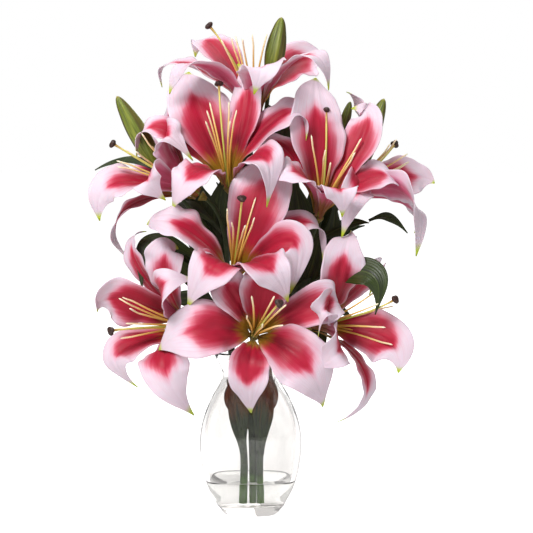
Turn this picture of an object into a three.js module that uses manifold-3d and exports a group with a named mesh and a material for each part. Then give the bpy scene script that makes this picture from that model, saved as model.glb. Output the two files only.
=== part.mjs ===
// Stargazer lilies in a clear glass vase.
// Millimetres, +Z up, origin at the middle of the vase's foot, front of the bouquet towards -Y.
import * as THREE from 'three';
import { mergeVertices } from 'three/addons/utils/BufferGeometryUtils.js';
import Module from 'manifold-3d';

const wasm = await Module();
wasm.setup();

// ---------------------------------------------------------------- driving dimensions
const gap = 0.3;                 // clearance between pieces that touch
const relief = 0.26;             // clearance left where a piece is relieved round an earlier one
const shortestEdge = 0.015;      // corners closer than this are joined into one

const vaseHalfWidth = 51.2;
const vaseHalfDepth = 35;
const vaseHeight = 165;
const vaseWall = 4.5;
const vaseFloor = 10;
const floorRounding = 3;         // how far the wall is drawn in where it meets the floor
const waterLevel = 35;
const vaseSides = 20;
const vaseFullness = 3;          // 2 is an oval seen from above, more fills its corners

const stemRadius = 3.3;
const stemClearance = 1.5;       // from the vase's floor up to the cut ends of the stems
const stalkRadius = 2;
const stalkEndLength = 7;        // the cone under each bloom and bud
const budEndRadius = 3;
const forkReach = 25;            // how far a stalk follows its stem's direction as it leaves
const stalkReach = 35;           // how far below its bloom a stalk takes the bloom's direction

const petalThickness = 0.7;
const petalSpread = 1;           // how far the petals reach from their bloom's axis
const petalFold = 0.3;           // how steeply a petal's halves rise from its midrib
const throatLength = 34;         // height at which the petals leave the bloom's tube
const innerThroat = 7.5;         // distance of the inner petals from the axis at that height
const outerThroat = 12;
const innerFoot = 4.2;           // radius of the ring that joins the inner petals
const outerFoot = 5.9;           // radius of the ring that joins the outer petals
const ringWall = 1.4;            // wall of the rings at the foot of the petals and filaments
const footHeight = 3.5;          // height of those rings
const footWidth = 3;             // width of a petal or leaf at its foot
const rootInset = 0.15;          // how far inside its ring's middle a petal starts
const rootHeight = 1.5;          // how far up its ring a petal starts

const leafThickness = 0.8;
const leafFold = -0.2;
const tipWidth = 1.2;            // width of a petal or leaf at its tip
const widestPoint = 1.35;        // above 1, a petal or leaf is widest past its middle
const outlineFullness = 1.6;     // the higher, the narrower towards foot and tip

const filamentRadius = 0.8;
const filamentRing = 2.5;        // radius of the ring that carries the filaments
const filamentRise = 20;         // how far a filament climbs straight from its ring
const styleRadius = 1;
const ovaryRadius = 1.4;
const ovaryLength = 14;
const stigmaRadius = 3.8;

const stemFootHeight = vaseFloor + stemClearance;
const petalRingRadius = outerFoot + ringWall / 2;

// The vase's outline, as shares of its half width, half depth and height.
const vaseOutline = [
  [0.527, 0.657, 0], [0.674, 0.8, 0.055], [0.85, 0.929, 0.164], [0.947, 0.986, 0.267], [1, 1, 0.4],
  [0.986, 0.971, 0.509], [0.898, 0.886, 0.618], [0.752, 0.757, 0.721], [0.596, 0.629, 0.812],
  [0.553, 0.586, 0.855], [0.596, 0.614, 0.903], [0.703, 0.686, 0.976], [0.742, 0.714, 1],
];
const vaseOutside = vaseOutline.map(([halfWidth, halfDepth, height]) =>
  [halfWidth * vaseHalfWidth, halfDepth * vaseHalfDepth, height * vaseHeight]);

// ---------------------------------------------------------------- the nine blooms
// at: foot of the bloom, its height measured from the vase's rim; heading, tilt: where its axis
// points, in degrees.
// Petals: crest and tip, each as turn round the axis (degrees), distance out and height up,
// then the widest part and the roll towards the tip. Filament tips and the stigma: turn, out, up.
const blooms = {
  centre: {
    at: [-17, -45, 76], heading: -79, tilt: 36,
    inner: [
      { crest: [146, 43, 76], tip: [148, 84, 94], width: 56, roll: 0 },
      { crest: [262, 52, 62], tip: [252, 88, 50], width: 46, roll: 0 },
      { crest: [22, 46, 60], tip: [38, 70, 22], width: 44, roll: 0 },
    ],
    outer: [
      { crest: [320, 42, 52], tip: [308, 62, 2], width: 44, roll: 0 },
      { crest: [72, 48, 62], tip: [56, 60, 12], width: 36, roll: 80 },
      { crest: [108, 66, 56], tip: [88, 86, 24], width: 30, roll: 0 },
    ],
    stigma: [179, 6, 98],
    filaments: [[233, 17, 84], [318, 14, 85], [5, 15, 85], [70, 14, 84], [150, 40, 76], [169, 50, 72]],
  },
  front: {
    at: [4, -50, 23], heading: -85, tilt: 72,
    inner: [
      { crest: [271, 54, 42], tip: [279, 94, 10], width: 50, roll: 0 },
      { crest: [51, 52, 46], tip: [42, 96, 4], width: 52, roll: 0 },
      { crest: [169, 40, 51], tip: [174, 66, 33], width: 42, roll: 0 },
    ],
    outer: [
      { crest: [346, 40, 34], tip: [357, 74, -12], width: 36, roll: 0 },
      { crest: [111, 66, 50], tip: [101, 76, 14], width: 38, roll: 0 },
      { crest: [217, 45, 49], tip: [216, 64, 26], width: 34, roll: 0 },
    ],
    stigma: [130, 21, 96],
    filaments: [[150, 24, 82], [199, 22, 83], [251, 16, 85], [20, 6, 86], [77, 19, 84], [122, 27, 81]],
  },
  upper_left: {
    at: [-21, -29, 166], heading: -102, tilt: 34,
    inner: [
      { crest: [217, 50, 63], tip: [210, 87, 84], width: 56, roll: 0 },
      { crest: [122, 64, 60], tip: [107, 80, 38], width: 38, roll: 0 },
      { crest: [335, 42, 45], tip: [322, 68, 14], width: 38, roll: 0 },
    ],
    outer: [
      { crest: [160, 50, 64], tip: [176, 80, 90], width: 30, roll: 0 },
      { crest: [62, 50, 54], tip: [44, 70, 15], width: 36, roll: 0 },
      { crest: [258, 60, 60], tip: [276, 84, 42], width: 30, roll: 0 },
    ],
    stigma: [189, 52, 86],
    filaments: [[204, 38, 77], [240, 12, 86], [320, 14, 85], [61, 16, 84], [119, 19, 84], [170, 33, 80]],
  },
  upper_right: {
    at: [67, -29, 137], heading: -71, tilt: 34,
    inner: [
      { crest: [190, 43, 78], tip: [178, 90, 102], width: 54, roll: 0 },
      { crest: [85, 45, 50], tip: [95, 78, 30], width: 38, roll: 0 },
      { crest: [285, 36, 59], tip: [277, 60, 50], width: 42, roll: 0 },
    ],
    outer: [
      { crest: [128, 52, 76], tip: [150, 66, 88], width: 34, roll: 0 },
      { crest: [352, 38, 62], tip: [3, 44, 34], width: 34, roll: 0 },
      { crest: [215, 56, 50], tip: [232, 84, 40], width: 26, roll: 0 },
    ],
    stigma: [174, 55, 88],
    filaments: [[220, 30, 82], [290, 16, 84], [330, 26, 82], [60, 20, 84], [125, 46, 76], [158, 46, 76]],
  },
  far_left: {
    at: [-49, -30, 158], heading: 187, tilt: 60,
    inner: [
      { crest: [15, 28, 75], tip: [356, 70, 72], width: 40, roll: -80 },
      { crest: [145, 38, 57], tip: [130, 40, 25], width: 44, roll: 0 },
      { crest: [265, 60, 60], tip: [270, 90, 50], width: 38, roll: 0 },
    ],
    outer: [
      { crest: [81, 54, 54], tip: [66, 48, 30], width: 34, roll: 0 },
      { crest: [205, 60, 62], tip: [205, 88, 50], width: 30, roll: 0 },
      { crest: [335, 60, 55], tip: [336, 100, 26], width: 30, roll: 0 },
    ],
    stigma: [232, 3, 98],
    filaments: [[260, 12, 86], [325, 12, 87], [10, 14, 84], [100, 34, 78], [140, 30, 80], [187, 26, 82]],
  },
  far_right: {
    at: [86, 0, 152], heading: 17, tilt: 57,
    inner: [
      { crest: [290, 56, 48], tip: [322, 98, 22], width: 42, roll: 0 },
      { crest: [32, 30, 74], tip: [14, 50, 100], width: 40, roll: 50 },
      { crest: [175, 46, 62], tip: [180, 84, 66], width: 38, roll: 0 },
    ],
    outer: [
      { crest: [345, 42, 54], tip: [342, 72, 44], width: 28, roll: 0 },
      { crest: [120, 52, 60], tip: [120, 86, 48], width: 30, roll: 0 },
      { crest: [255, 54, 12], tip: [290, 58, -30], width: 32, roll: 0 },
    ],
    stigma: [98, 33, 92],
    filaments: [[120, 20, 84], [200, 16, 84], [270, 14, 84], [340, 12, 84], [30, 18, 84], [60, 30, 81]],
  },
  top: {
    at: [6, 5, 232], heading: -149, tilt: 14,
    inner: [
      { crest: [75, 60, 54], tip: [62, 77, 33], width: 42, roll: 0 },
      { crest: [188, 68, 42], tip: [178, 92, 26], width: 44, roll: 70 },
      { crest: [318, 60, 66], tip: [322, 86, 49], width: 34, roll: 0 },
    ],
    outer: [
      { crest: [12, 56, 66], tip: [357, 86, 46], width: 34, roll: 0 },
      { crest: [116, 68, 54], tip: [119, 86, 18], width: 34, roll: 0 },
      { crest: [264, 68, 74], tip: [272, 92, 66], width: 36, roll: 0 },
    ],
    stigma: [318, 27, 99],
    filaments: [[347, 19, 84], [13, 12, 85], [67, 24, 83], [109, 20, 84], [160, 28, 80], [250, 20, 84]],
  },
  lower_left: {
    at: [-52, -28, 29], heading: 208, tilt: 85,
    inner: [
      { crest: [222, 28, 72], tip: [254, 28, 96], width: 48, roll: 30 },
      { crest: [50, 47, 50], tip: [21, 89, 12], width: 46, roll: -60 },
      { crest: [165, 62, 48], tip: [175, 76, 30], width: 40, roll: 50 },
    ],
    outer: [
      { crest: [343, 26, 76], tip: [349, 64, 54], width: 34, roll: -40 },
      { crest: [131, 58, 62], tip: [134, 72, 32], width: 36, roll: 0 },
      { crest: [202, 64, 60], tip: [194, 92, 52], width: 28, roll: 0 },
    ],
    stigma: [70, 14, 97],
    filaments: [[100, 18, 84], [132, 24, 83], [187, 28, 81], [203, 25, 82], [300, 14, 84], [30, 16, 85]],
  },
  lower_right: {
    at: [60, -30, 30], heading: -27, tilt: 82,
    inner: [
      { crest: [28, 22, 70], tip: [14, 56, 80], width: 46, roll: 70 },
      { crest: [199, 55, 48], tip: [176, 88, 52], width: 44, roll: -70 },
      { crest: [288, 52, 50], tip: [306, 60, 26], width: 38, roll: 0 },
    ],
    outer: [
      { crest: [146, 52, 56], tip: [118, 46, 48], width: 30, roll: 0 },
      { crest: [246, 54, 43], tip: [276, 58, 34], width: 32, roll: 0 },
      { crest: [354, 56, 54], tip: [354, 96, 20], width: 28, roll: 0 },
    ],
    stigma: [205, 21, 96],
    filaments: [[225, 24, 82], [300, 14, 84], [16, 29, 81], [39, 30, 81], [116, 26, 82], [182, 31, 80]],
  },
};

// ---------------------------------------------------------------- buds, stems and leaves
// Foot and tip of each bud, heights from the vase's rim.
const buds = {
  left: { from: [-88, -25, 183], tip: [-129, -30, 254], radius: 10 },
  top: { from: [20, 10, 270], tip: [31, 12, 332], radius: 10 },
  right: { from: [104, 30, 171], tip: [134, 22, 252], radius: 10.5 },
  small_upper: { from: [93, 36, 219], tip: [101, 38, 249], radius: 5 },
  small_lower: { from: [90, 20, 209], tip: [88, 20, 239], radius: 5 },
};

// Each stem stands on the vase's floor: where it passes the heights of stemLevels, then where it
// goes above the rim, and how far above the rim its stalks fork off, blooms first and buds after.
const stemLevels = [stemFootHeight, vaseHeight * 0.364, vaseHeight * 0.667, vaseHeight * 0.855];
const stems = {
  left: {
    inVase: [[-7.4, -3], [-7, -2], [-12.5, 0], [-17, 2]],
    above: [[-22, 4, 35], [-24, 2, 97]],
    blooms: ['upper_left', 'far_left', 'lower_left'],
    buds: ['left'],
    forks: [75, 60, 0, 85],
  },
  middle: {
    inVase: [[2.2, 3], [2, 3], [1, 5], [1, 7]],
    above: [[3, 12, 35], [5, 16, 135]],
    blooms: ['centre', 'front', 'top'],
    buds: ['top'],
    forks: [40, -5, 125, 120],
  },
  right: {
    inVase: [[9.6, -3], [9.4, -2], [13, 0], [17, 2]],
    above: [[28, 6, 35], [44, 8, 85]],
    blooms: ['upper_right', 'far_right', 'lower_right'],
    buds: ['right', 'small_upper', 'small_lower'],
    forks: [50, 70, 0, 75, 80, 65],
  },
};

// Leaves: the stem or stalk that each grows from and how far along it, two points that pull the
// leaf's line, its tip (heights from the rim), the way its upper face looks, and its widest part.
const leaves = {
  top_left: { on: 'top', share: 0.85, route: [[-14, 6, 231], [-20, 2, 243], [-11, -5, 255]],
    face: [0, -1, 0.3], width: 15 },
  top_right: { on: 'top', share: 0.6, route: [[28, 12, 205], [36, 6, 231], [17, 2, 246]],
    face: [0, -1, 0.3], width: 19 },
  upper_left: { on: 'upper_left', share: 0.3, route: [[-42, 8, 125], [-54, 10, 147], [-50, 5, 171]],
    face: [0, -1, 0.2], width: 27 },
  under_left: { on: 'far_left', share: 0.55, route: [[-48, 2, 141], [-62, -4, 150], [-78, -10, 145]],
    face: [0, -0.6, 0.8], width: 15 },
  far_left: { on: 'left_bud', share: 0.9, route: [[-95, -10, 190], [-124, 6, 200], [-155, 6, 181]],
    face: [0, -0.7, 0.7], width: 8 },
  middle_left: { on: 'left', share: 0.9, route: [[-80, -8, 125], [-116, -20, 130], [-105, -36, 63]],
    face: [0, -0.8, 0.6], width: 19 },
  lower_left: { on: 'lower_left', share: 0.5, route: [[-50, -6, 49], [-70, -14, 39], [-82, -22, 13]],
    face: [0, -0.7, 0.7], width: 20 },
  centre_right: { on: 'right', share: 0.98, route: [[42, 10, 130], [32, 12, 167], [34, 2, 203]],
    face: [0, -1, 0.2], width: 26 },
  upper_right: { on: 'far_right', share: 0.35, route: [[74, 6, 115], [98, 0, 133], [118, -5, 129]],
    face: [0, -0.7, 0.7], width: 15 },
  folded_right: { on: 'right', share: 0.85, route: [[88, -50, 92], [136, -84, 108], [120, -70, 46]],
    face: [0, -0.9, 0.5], width: 29 },
  middle_right: { on: 'right', share: 0.8, route: [[56, 10, 75], [66, 10, 97], [76, 6, 111]],
    face: [0, -0.9, 0.3], width: 18 },
  lower_right: { on: 'lower_right', share: 0.5, route: [[55, -8, 37], [74, -22, 35], [72, -32, 1]],
    face: [0, -0.9, 0.5], width: 15 },
  neck_left: { on: 'left', share: 0.35, route: [[-20, -5, -62], [-25, -8, -45], [-13, -8, -22]],
    face: [-0.3, -1, 0], width: 12 },
  neck_right: { on: 'right', share: 0.35, route: [[20, -6, -62], [27, -8, -43], [13, -8, -17]],
    face: [0.3, -1, 0], width: 12 },
};

// ---------------------------------------------------------------- materials
const finishes = {
  petal: { color: 0xd9456b, roughness: 0.6, metalness: 0 },
  filament: { color: 0xe0b860, roughness: 0.6, metalness: 0 },
  pistil: { color: 0xb9b050, roughness: 0.6, metalness: 0 },
  bud: { color: 0x87902a, roughness: 0.6, metalness: 0 },
  stem: { color: 0x3c4a1c, roughness: 0.6, metalness: 0 },
  leaf: { color: 0x26350f, roughness: 0.5, metalness: 0 },
  glass: { color: 0xeef4f2, roughness: 0.05, metalness: 0 },
  water: { color: 0xe6f0ee, roughness: 0.05, metalness: 0 },
};

// ---------------------------------------------------------------- solids
function toSolid(geometry) {
  geometry.deleteAttribute('normal');
  geometry.deleteAttribute('uv');
  const merged = mergeVertices(geometry, 1e-4);
  const corners = merged.index.array;
  const kept = [];
  for (let i = 0; i < corners.length; i += 3) {
    const [a, b, c] = corners.slice(i, i + 3);
    if (a !== b && b !== c && c !== a) kept.push(a, b, c);
  }
  return new wasm.Manifold(new wasm.Mesh({
    numProp: 3,
    vertProperties: new Float32Array(merged.attributes.position.array),
    triVerts: new Uint32Array(kept),
    tolerance: shortestEdge,
  }));
}

function toGeometry(solid) {
  const mesh = solid.getMesh();
  const geometry = new THREE.BufferGeometry();
  geometry.setAttribute('position', new THREE.BufferAttribute(mesh.vertProperties, 3));
  geometry.setIndex(new THREE.BufferAttribute(mesh.triVerts, 1));
  geometry.computeVertexNormals();
  return geometry;
}

const join = (solids) => solids.reduce((all, next) => all.add(next));
const vector = ([x, y, z]) => new THREE.Vector3(x, y, z);
const fromRim = ([x, y, z]) => new THREE.Vector3(x, y, vaseHeight + z);
const radians = THREE.MathUtils.degToRad;
const around = ([turn, out, up]) =>
  new THREE.Vector3(out * Math.cos(radians(turn)), out * Math.sin(radians(turn)), up);

// A pole of even radius along a curve.
function tube(curve, radius, sides, steps) {
  const section = new THREE.Shape(new THREE.EllipseCurve(0, 0, radius, radius).getPoints(sides));
  const settings = { extrudePath: curve, steps, bevelEnabled: false };
  return toSolid(new THREE.ExtrudeGeometry(section, settings));
}

// A thin blade along a curve: a fine box whose layers are laid along the curve, narrow at the
// foot, widest past the middle and pointed, with its two halves folded up along the midrib.
function blade(curve, { width, thickness, acrossAt, roll = 0, fold }, swell) {
  const geometry = new THREE.BoxGeometry(1, 1, 1, 2, 5, 1);
  const corner = geometry.attributes.position;
  for (let i = 0; i < corner.count; i += 1) {
    const across = corner.getX(i) * 2;
    const along = corner.getY(i) + 0.5;
    const side = corner.getZ(i) * 2;
    const forward = curve.getTangent(along);
    const sideways = acrossAt(forward).projectOnPlane(forward).normalize();
    sideways.applyAxisAngle(forward, radians(roll * along));
    const outward = sideways.clone().cross(forward);
    const swelling = Math.sin(Math.PI * along ** widestPoint) ** outlineFullness;
    const half = (footWidth * (1 - along) + width * swelling + tipWidth * along) / 2;
    // The fold grows over the first quarter, then eases towards the tip.
    const rise = -fold * Math.min(1, 4 * along) * (1 - 0.8 * along) * half * Math.abs(across);
    const point = curve.getPoint(along)
      .addScaledVector(sideways, across * (half + swell))
      .addScaledVector(outward, rise + side * (thickness / 2 + swell))
      .addScaledVector(forward, swell * Math.trunc(2 * along - 1));
    corner.setXYZ(i, ...point);
  }
  return toSolid(geometry);
}

// ---------------------------------------------------------------- placing pieces
// A piece that is placed later is relieved where it would press into an earlier one, so that a
// gap is left between them.
const bouquet = new THREE.Group();
const placed = [];

function place(name, finish, make, parent = bouquet) {
  parent.updateWorldMatrix(true, false);
  const toWorld = parent.matrixWorld;
  let solid = make(0).transform(toWorld.elements);
  const box = solid.boundingBox();
  for (const neighbour of placed) {
    const near = [0, 1, 2].every((k) =>
      box.min[k] < neighbour.box.max[k] && neighbour.box.min[k] < box.max[k]);
    if (near) solid = solid.subtract(neighbour.swollen);
  }
  const bodies = solid.decompose();
  solid = bodies.reduce((largest, next) => (next.volume() > largest.volume() ? next : largest));
  const swollen = make(relief).transform(toWorld.elements);
  placed.push({ swollen, box: swollen.boundingBox() });
  const local = solid.transform(toWorld.clone().invert().elements);
  const mesh = new THREE.Mesh(toGeometry(local), new THREE.MeshStandardMaterial(finishes[finish]));
  mesh.name = name;
  parent.add(mesh);
}

// ---------------------------------------------------------------- vase and water
// Rings of [half width, half depth, height] from the axis, out and back to the axis. Seen from
// above each ring is a flattened oval with full corners, as on a flask.
function flaskLathe(rings, segments) {
  const profile = rings.map(([halfWidth, , height]) => new THREE.Vector2(halfWidth, height));
  const geometry = new THREE.LatheGeometry(profile, segments).rotateX(Math.PI / 2);
  const corner = geometry.attributes.position;
  const fuller = (value) => Math.sign(value) * Math.abs(value) ** (2 / vaseFullness);
  for (let i = 0; i < corner.count; i += 1) {
    const [halfWidth, halfDepth] = rings[i % rings.length];
    if (halfWidth > 0) {
      corner.setX(i, halfWidth * fuller(corner.getX(i) / halfWidth));
      corner.setY(i, halfDepth * fuller(corner.getY(i) / halfWidth));
    }
  }
  return toSolid(geometry);
}

function vaseHalfSizes(height) {
  const above = vaseOutside.findIndex((ring) => ring[2] >= height);
  if (above <= 0) return vaseOutside[0].slice(0, 2);
  const [low, high] = [vaseOutside[above - 1], vaseOutside[above]];
  const share = (height - low[2]) / (high[2] - low[2]);
  return [0, 1].map((k) => low[k] + share * (high[k] - low[k]));
}

function insideRing(height, inset) {
  const [halfWidth, halfDepth] = vaseHalfSizes(height);
  return [halfWidth - inset, halfDepth - inset, height];
}

function makeVase(swell) {
  const heights = vaseOutside.map((ring) => ring[2]);
  const inside = heights.filter((height) => height > vaseFloor + 2)
    .map((height) => insideRing(height, vaseWall + swell));
  const floorRing = insideRing(vaseFloor + swell, vaseWall + floorRounding + swell);
  return flaskLathe([
    [0, 0, 0], ...vaseOutside, ...inside.reverse(), floorRing, [0, 0, vaseFloor + swell],
  ], vaseSides);
}

function makeWater() {
  const bottom = vaseFloor + gap;
  const heights = vaseOutside.map((ring) => ring[2]);
  const wet = heights.filter((height) => height > vaseFloor + 2 && height < waterLevel);
  return flaskLathe([
    [0, 0, bottom], insideRing(bottom, vaseWall + floorRounding + gap),
    ...wet.map((height) => insideRing(height, vaseWall + 2 * gap)),
    insideRing(waterLevel, vaseWall + 2 * gap), [0, 0, waterLevel],
  ], vaseSides);
}

// ---------------------------------------------------------------- stems
const bloomGroups = {};
for (const [name, bloom] of Object.entries(blooms)) {
  const group = new THREE.Group();
  group.position.copy(fromRim(bloom.at));
  group.rotation.set(0, radians(bloom.tilt), radians(bloom.heading), 'ZYX');
  group.name = name;
  bouquet.add(group);
  group.updateWorldMatrix(true, false);
  bloomGroups[name] = group;
}

const budGroups = {};
for (const [name, bud] of Object.entries(buds)) {
  const group = new THREE.Group();
  const axis = vector(bud.tip).sub(vector(bud.from));
  group.position.copy(fromRim(bud.from));
  group.name = `${name}_bud`;
  group.quaternion.setFromUnitVectors(new THREE.Vector3(0, 0, 1), axis.normalize());
  bouquet.add(group);
  group.updateWorldMatrix(true, false);
  budGroups[name] = group;
}

function stalkCurve(group, stemCurve, fork) {
  const under = (distance) => group.localToWorld(new THREE.Vector3(0, 0, -distance));
  const points = stemCurve.getSpacedPoints(60);
  const share = points.findIndex((point) => point.z >= vaseHeight + fork) / 60;
  const start = stemCurve.getPointAt(share);
  const onward = start.clone().addScaledVector(stemCurve.getTangentAt(share), forkReach);
  return new THREE.CubicBezierCurve3(start, onward, under(stalkReach), under(stalkEndLength / 2));
}

function stalkSolids(group, curve, endRadius, swell) {
  const length = stalkEndLength + swell;
  const cone = new THREE.CylinderGeometry(endRadius + swell, stalkRadius + swell, length, 6);
  cone.rotateX(Math.PI / 2).translate(0, 0, swell - length / 2).applyMatrix4(group.matrixWorld);
  return [tube(curve, stalkRadius + swell, 5, 5), toSolid(cone)];
}

// Every stem's and stalk's middle line, by the name of the stem, bloom or bud.
const growthLines = {};
for (const [name, stem] of Object.entries(stems)) {
  const inVase = stem.inVase.map(([x, y], level) => new THREE.Vector3(x, y, stemLevels[level]));
  growthLines[name] = new THREE.CatmullRomCurve3([...inVase, ...stem.above.map(fromRim)]);
  const groups = [
    ...stem.blooms.map((bloom) => bloomGroups[bloom]),
    ...stem.buds.map((bud) => budGroups[bud]),
  ];
  groups.forEach((group, index) => {
    growthLines[group.name] = stalkCurve(group, growthLines[name], stem.forks[index]);
  });
}

function makeStem(name, swell) {
  const ends = [
    ...stems[name].blooms.map((bloom) => [bloomGroups[bloom], petalRingRadius]),
    ...stems[name].buds.map((bud) => [budGroups[bud], budEndRadius]),
  ];
  return join([
    tube(growthLines[name], stemRadius + swell, 6, 8),
    ...ends.flatMap(([group, radius]) => stalkSolids(group, growthLines[group.name], radius, swell)),
  ]);
}

// ---------------------------------------------------------------- blooms
function footRing(radius, swell) {
  const [inner, outer] = [radius - ringWall / 2 - swell, radius + ringWall / 2 + swell];
  const [low, high] = [gap - swell, footHeight + swell];
  const profile = [[inner, low], [outer, low], [outer, high], [inner, high], [inner, low]];
  const ring = new THREE.LatheGeometry(profile.map(([x, y]) => new THREE.Vector2(x, y)), 8);
  return toSolid(ring.rotateX(Math.PI / 2));
}

function petalCurve({ crest, tip }, footRadius, throatRadius) {
  const foot = around([crest[0], footRadius - rootInset, gap + rootHeight]);
  const throat = around([crest[0], throatRadius, throatLength]);
  const [high, end] = [crest, tip].map(([turn, out, up]) => around([turn, out * petalSpread, up]));
  // The curve meets the crest three fifths of the way along.
  const handle = high.clone().addScaledVector(foot, -0.064).addScaledVector(throat, -0.288)
    .addScaledVector(end, -0.216).divideScalar(0.432);
  return new THREE.CubicBezierCurve3(foot, throat, handle, end);
}

function makePetals(petals, footRadius, throatRadius, swell) {
  const solids = petals.map((petal) => blade(petalCurve(petal, footRadius, throatRadius), {
    width: petal.width,
    roll: petal.roll,
    thickness: petalThickness,
    fold: petalFold,
    acrossAt: () => around([petal.crest[0] + 90, 1, 0]),
  }, swell));
  return join([footRing(footRadius, swell), ...solids]);
}

function makeStamens({ stigma, filaments }, swell) {
  const ring = footRing(filamentRing, swell);
  const solids = filaments.map((tip, index) => {
    const turn = stigma[0] + 30 + 60 * index;
    const root = around([turn, filamentRing, footHeight / 2]);
    const middle = around([turn, filamentRing, footHeight + filamentRise]);
    const bend = around([tip[0], tip[1] * 0.45, tip[2] * 0.6]);
    const curve = new THREE.CubicBezierCurve3(root, middle, bend, around(tip));
    return tube(curve, filamentRadius + swell, 3, 4);
  });
  return join([ring, ...solids]);
}

function makePistil({ stigma }, swell) {
  const [top, bottom] = [styleRadius + swell, ovaryRadius + swell];
  const ovary = new THREE.CylinderGeometry(top, bottom, ovaryLength + swell, 6);
  ovary.rotateX(Math.PI / 2).translate(0, 0, ovaryLength / 2 + gap);
  const root = new THREE.Vector3(0, 0, ovaryLength - 2);
  const bend = around([stigma[0], stigma[1] * 0.25, stigma[2] * 0.65]);
  const curve = new THREE.QuadraticBezierCurve3(root, bend, around(stigma));
  const head = new THREE.IcosahedronGeometry(stigmaRadius + swell, 0).translate(...around(stigma));
  return join([toSolid(ovary), tube(curve, styleRadius + swell, 4, 4), toSolid(head)]);
}

function makeBud(bud, swell) {
  const length = vector(bud.tip).distanceTo(vector(bud.from));
  const outline = [[0.3, 0], [0.75, 0.14], [1, 0.36], [0.95, 0.6], [0.62, 0.84], [0.3, 0.96]];
  const profile = outline.map(([out, up]) => [out * bud.radius + swell, gap - swell + up * length]);
  const points = [[0, gap - swell], ...profile, [0, length + gap + swell]];
  const lathe = new THREE.LatheGeometry(points.map(([x, y]) => new THREE.Vector2(x, y)), 9);
  return toSolid(lathe.rotateX(Math.PI / 2));
}

function makeLeaf(leaf, swell) {
  const face = vector(leaf.face);
  const root = growthLines[leaf.on].getPointAt(leaf.share);
  return blade(new THREE.CubicBezierCurve3(root, ...leaf.route.map(fromRim)), {
    width: leaf.width,
    thickness: leafThickness,
    fold: leafFold,
    acrossAt: (forward) => forward.clone().cross(face),
  }, swell);
}

// ---------------------------------------------------------------- assembly
place('vase', 'glass', makeVase);
for (const name of Object.keys(stems)) {
  place(`${name}_stem`, 'stem', (swell) => makeStem(name, swell));
}
for (const [name, bloom] of Object.entries(blooms)) {
  place(`${name}_bloom_pistil`, 'pistil', (swell) => makePistil(bloom, swell), bloomGroups[name]);
  place(`${name}_bloom_stamens`, 'filament', (swell) => makeStamens(bloom, swell), bloomGroups[name]);
}
for (const [name, bloom] of Object.entries(blooms)) {
  place(`${name}_bloom_inner_petals`, 'petal',
    (swell) => makePetals(bloom.inner, innerFoot, innerThroat, swell), bloomGroups[name]);
  place(`${name}_bloom_outer_petals`, 'petal',
    (swell) => makePetals(bloom.outer, outerFoot, outerThroat, swell), bloomGroups[name]);
}
for (const [name, bud] of Object.entries(buds)) {
  place(`${name}_bud`, 'bud', (swell) => makeBud(bud, swell), budGroups[name]);
}
for (const [name, leaf] of Object.entries(leaves)) {
  place(`${name}_leaf`, 'leaf', (swell) => makeLeaf(leaf, swell));
}
place('water', 'water', () => makeWater());

export default bouquet;
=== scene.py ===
# Stargazer lilies in a clear glass vase: the visual pieces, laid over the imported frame.
# Lengths in the tables are millimetres, as in the part's source; meshes are made in metres.
import math
import random

import bmesh
import bpy
from mathutils import Matrix, Quaternion, Vector, noise


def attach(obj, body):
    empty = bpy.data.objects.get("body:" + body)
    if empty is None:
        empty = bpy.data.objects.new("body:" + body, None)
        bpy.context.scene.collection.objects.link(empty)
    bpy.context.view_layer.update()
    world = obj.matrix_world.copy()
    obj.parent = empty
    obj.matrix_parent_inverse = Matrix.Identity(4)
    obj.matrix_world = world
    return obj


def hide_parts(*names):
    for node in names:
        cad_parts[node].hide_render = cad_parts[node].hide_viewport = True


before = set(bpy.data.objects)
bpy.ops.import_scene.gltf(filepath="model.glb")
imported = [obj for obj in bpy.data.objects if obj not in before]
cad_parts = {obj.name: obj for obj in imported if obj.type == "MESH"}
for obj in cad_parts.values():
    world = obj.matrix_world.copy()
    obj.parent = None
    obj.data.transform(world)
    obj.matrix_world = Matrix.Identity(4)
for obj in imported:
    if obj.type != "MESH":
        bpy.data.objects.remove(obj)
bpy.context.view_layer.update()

MM = 0.001
GAP = 0.3
THROAT_LENGTH = 34
INNER_FOOT, OUTER_FOOT = 4.2, 5.9
INNER_THROAT, OUTER_THROAT = 7.5, 12
FOOT_WIDTH, TIP_WIDTH = 3, 1.2
FILAMENT_RING, FILAMENT_RISE, FOOT_HEIGHT = 2.5, 20, 3.5
STEM_RADIUS, STALK_RADIUS = 3.3, 2
STALK_END, FORK_REACH, STALK_REACH = 7, 25, 35
BLOOM_SEAT, BUD_SEAT = 5.2, 2.6
VASE_HALF_WIDTH, VASE_HALF_DEPTH, RIM = 51.2, 35, 165
VASE_WALL, VASE_FLOOR, WATER_LEVEL = 4.5, 10, 35
VASE_CORNERS = 3
PETAL_FULLER, PETAL_FULLNESS, LEAF_FULLNESS = 1.06, 1.2, 1.6
SHEET_THICKNESS = 0.5
VASE_OUTLINE = [
    [0.527, 0.657, 0], [0.674, 0.8, 0.055], [0.85, 0.929, 0.164], [0.947, 0.986, 0.267],
    [1, 1, 0.4], [0.986, 0.971, 0.509], [0.898, 0.886, 0.618], [0.752, 0.757, 0.721],
    [0.596, 0.629, 0.812], [0.553, 0.586, 0.855], [0.596, 0.614, 0.903], [0.703, 0.686, 0.976],
    [0.742, 0.714, 1],
]
STEM_LEVELS = [VASE_FLOOR + 1.5, RIM * 0.364, RIM * 0.667, RIM * 0.855]

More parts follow.
